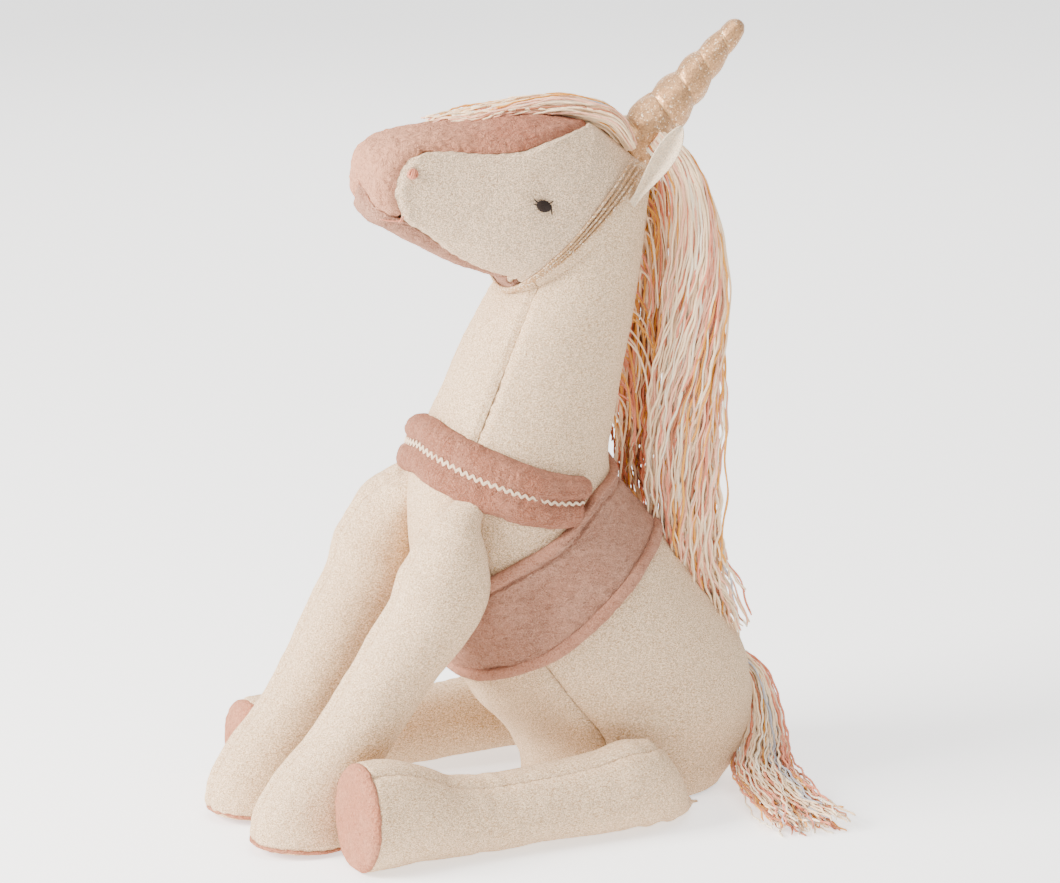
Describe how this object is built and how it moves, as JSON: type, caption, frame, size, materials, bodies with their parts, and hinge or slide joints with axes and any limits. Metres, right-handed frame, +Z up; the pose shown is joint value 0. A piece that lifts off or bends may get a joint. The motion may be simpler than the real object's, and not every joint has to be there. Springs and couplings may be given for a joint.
{
  "type": "plush unicorn",
  "caption": "Seated plush unicorn toy with stuffed head, neck, body and four splayed legs, a strapped-on spiral horn, yarn mane and tail, breast strap and saddle cloth.",
  "frame": {"origin": "centre of the flat seat panel, on the surface that the toy sits on", "axes": "+Z up, nose towards -Y, the unicorn's left side towards +X"},
  "size_m": [0.265, 0.3833, 0.4983],
  "materials": {
    "oatmeal_felt": "brushed wool-look felt, oatmeal melange with a fine nap",
    "pink_plush": "short dusty pink plush with a soft sheen",
    "pink_binding": "folded dusty pink binding, stitched along both edges",
    "polyester_filling": "loose white polyester fibre",
    "rose_gold_lame": "rose gold glitter fabric",
    "gold_elastic": "thin metallic gold elastic cords",
    "dark_thread": "near-black brown embroidery thread",
    "copper_thread": "copper pink embroidery thread",
    "cream_trim": "cream woven rickrack braid",
    "mane_yarn": "two-ply yarn, mostly cream with ochre, salmon and pale blue-grey strands"
  },
  "bodies": {
    "torso": {"body_side_panel_left": "oatmeal_felt", "body_side_panel_right": "oatmeal_felt", "chest_gusset": "oatmeal_felt", "seat_panel": "oatmeal_felt", "body_stuffing": "polyester_filling", "breast_strap": "pink_plush", "rickrack": "cream_trim", "saddle": "pink_plush", "saddle_front_binding": "pink_binding", "saddle_rear_binding": "pink_binding", "mane_crest": "mane_yarn", "mane_near_lock": "mane_yarn", "mane_far_lock": "mane_yarn"},
    "head": {"upper_neck_cover": "oatmeal_felt", "cheek_panel_left": "oatmeal_felt", "cheek_panel_right": "oatmeal_felt", "nose_gusset": "pink_plush", "chin_gusset": "pink_plush", "head_stuffing": "polyester_filling", "horn_elastic": "gold_elastic", "forelock": "mane_yarn", "eye_left": "dark_thread", "eye_right": "dark_thread", "nostril_left": "copper_thread", "nostril_right": "copper_thread", "mouth_stitch_left": "copper_thread", "mouth_stitch_right": "copper_thread"},
    "horn": {"horn_cover": "rose_gold_lame", "horn_stuffing": "polyester_filling", "horn_base": "rose_gold_lame"},
    "tail": {"tail": "mane_yarn"},
    "ear_left": {"ear_outer_left": "oatmeal_felt", "ear_inner_left": "oatmeal_felt"},
    "front_leg_left": {"front_leg_outer_panel_left": "oatmeal_felt", "front_leg_inner_panel_left": "oatmeal_felt", "front_leg_stuffing_left": "polyester_filling", "front_leg_sole_left": "pink_plush"},
    "hind_leg_left": {"hind_leg_outer_panel_left": "oatmeal_felt", "hind_leg_inner_panel_left": "oatmeal_felt", "hind_leg_stuffing_left": "polyester_filling", "hind_leg_sole_left": "pink_plush"},
    "ear_right": {"ear_outer_right": "oatmeal_felt", "ear_inner_right": "oatmeal_felt"},
    "front_leg_right": {"front_leg_outer_panel_right": "oatmeal_felt", "front_leg_inner_panel_right": "oatmeal_felt", "front_leg_stuffing_right": "polyester_filling", "front_leg_sole_right": "pink_plush"},
    "hind_leg_right": {"hind_leg_outer_panel_right": "oatmeal_felt", "hind_leg_inner_panel_right": "oatmeal_felt", "hind_leg_stuffing_right": "polyester_filling", "hind_leg_sole_right": "pink_plush"}
  },
  "joints": [
    {"name": "head_nod", "type": "hinge", "parent": "torso", "child": "head", "pos_m": [0, -0.0455, 0.312], "axis": [-1, 0, 0], "range_deg": [-12, 6]},
    {"name": "horn_pull", "type": "slide", "parent": "head", "child": "horn", "axis": [0, 0.717, 0.697], "range_m": [0, 0.015], "stiffness_N_per_m": 60},
    {"name": "tail_swing", "type": "hinge", "parent": "torso", "child": "tail", "pos_m": [0.004, 0.098, 0.066], "axis": [0, 0, 1], "range_deg": [0, 12]},
    {"name": "ear_left_flap", "type": "hinge", "parent": "head", "child": "ear_left", "pos_m": [0.0385, -0.01, 0.429], "axis": [0, 1, 0], "range_deg": [-6, 8]},
    {"name": "front_leg_left_swing", "type": "hinge", "parent": "torso", "child": "front_leg_left", "pos_m": [0.0525, -0.1525, 0.19], "axis": [-1, 0, 0], "range_deg": [0, 35]},
    {"name": "hind_leg_left_lift", "type": "hinge", "parent": "torso", "child": "hind_leg_left", "pos_m": [0.0912, -0.002, 0.0272], "axis": [-0.9404, 0, 0.3401], "range_deg": [0, 30]},
    {"name": "ear_right_flap", "type": "hinge", "parent": "head", "child": "ear_right", "pos_m": [-0.0385, -0.01, 0.429], "axis": [0, -1, 0], "range_deg": [-6, 8]},
    {"name": "front_leg_right_swing", "type": "hinge", "parent": "torso", "child": "front_leg_right", "pos_m": [-0.0525, -0.1525, 0.19], "axis": [-1, 0, 0], "range_deg": [0, 35]},
    {"name": "hind_leg_right_lift", "type": "hinge", "parent": "torso", "child": "hind_leg_right", "pos_m": [-0.0912, -0.002, 0.0272], "axis": [-0.9404, 0, -0.3401], "range_deg": [0, 30]}
  ]
}
